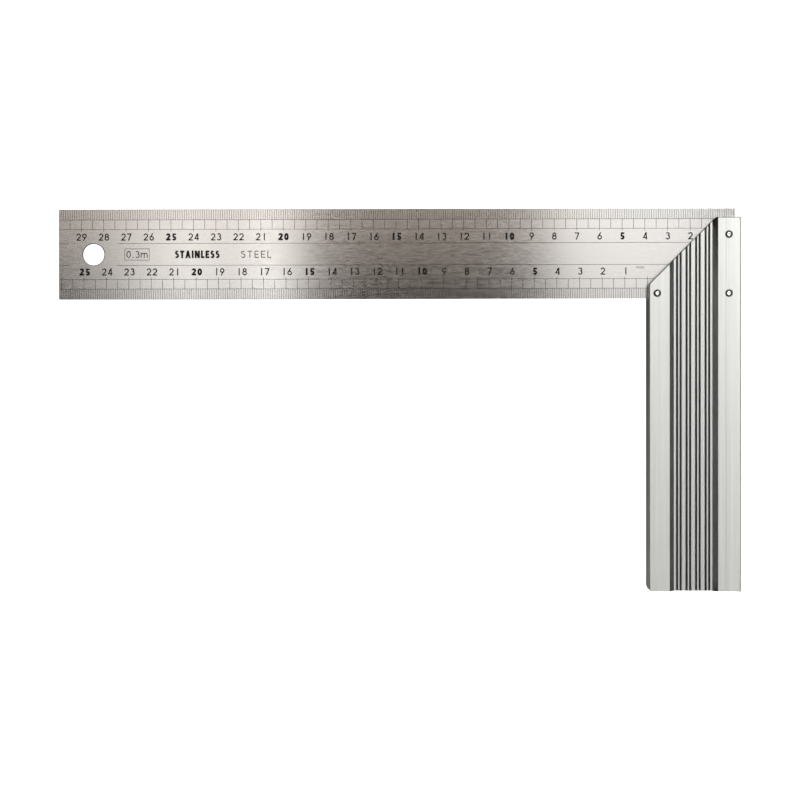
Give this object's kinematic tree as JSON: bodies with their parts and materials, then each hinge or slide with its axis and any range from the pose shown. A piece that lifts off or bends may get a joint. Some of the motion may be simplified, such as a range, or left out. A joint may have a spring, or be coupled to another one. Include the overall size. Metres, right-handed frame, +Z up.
{
  "type": "steel square ruler",
  "caption": "L-shaped square: a thin graduated steel blade with a hanging hole, riveted into a ribbed aluminium stock with a 45 degree corner.",
  "frame": {"origin": "bottom centre of the whole square, on the stock's outer face", "axes": "+Z up along the blade towards its free end, +X along the stock towards the blade, Y across the thickness"},
  "size_m": [0.1686, 0.018, 0.3012],
  "materials": {
    "blade_steel": "stainless, brushed along its length, with dark etched graduations",
    "stock_aluminium": "extruded, satin natural anodised",
    "rivet_steel": "bright pin ends set level with the stock"
  },
  "bodies": {
    "root": {"blade": "blade_steel", "stock": "stock_aluminium", "rivet_outer_top": "rivet_steel", "rivet_outer_bottom": "rivet_steel", "rivet_inner": "rivet_steel"}
  },
  "joints": []
}
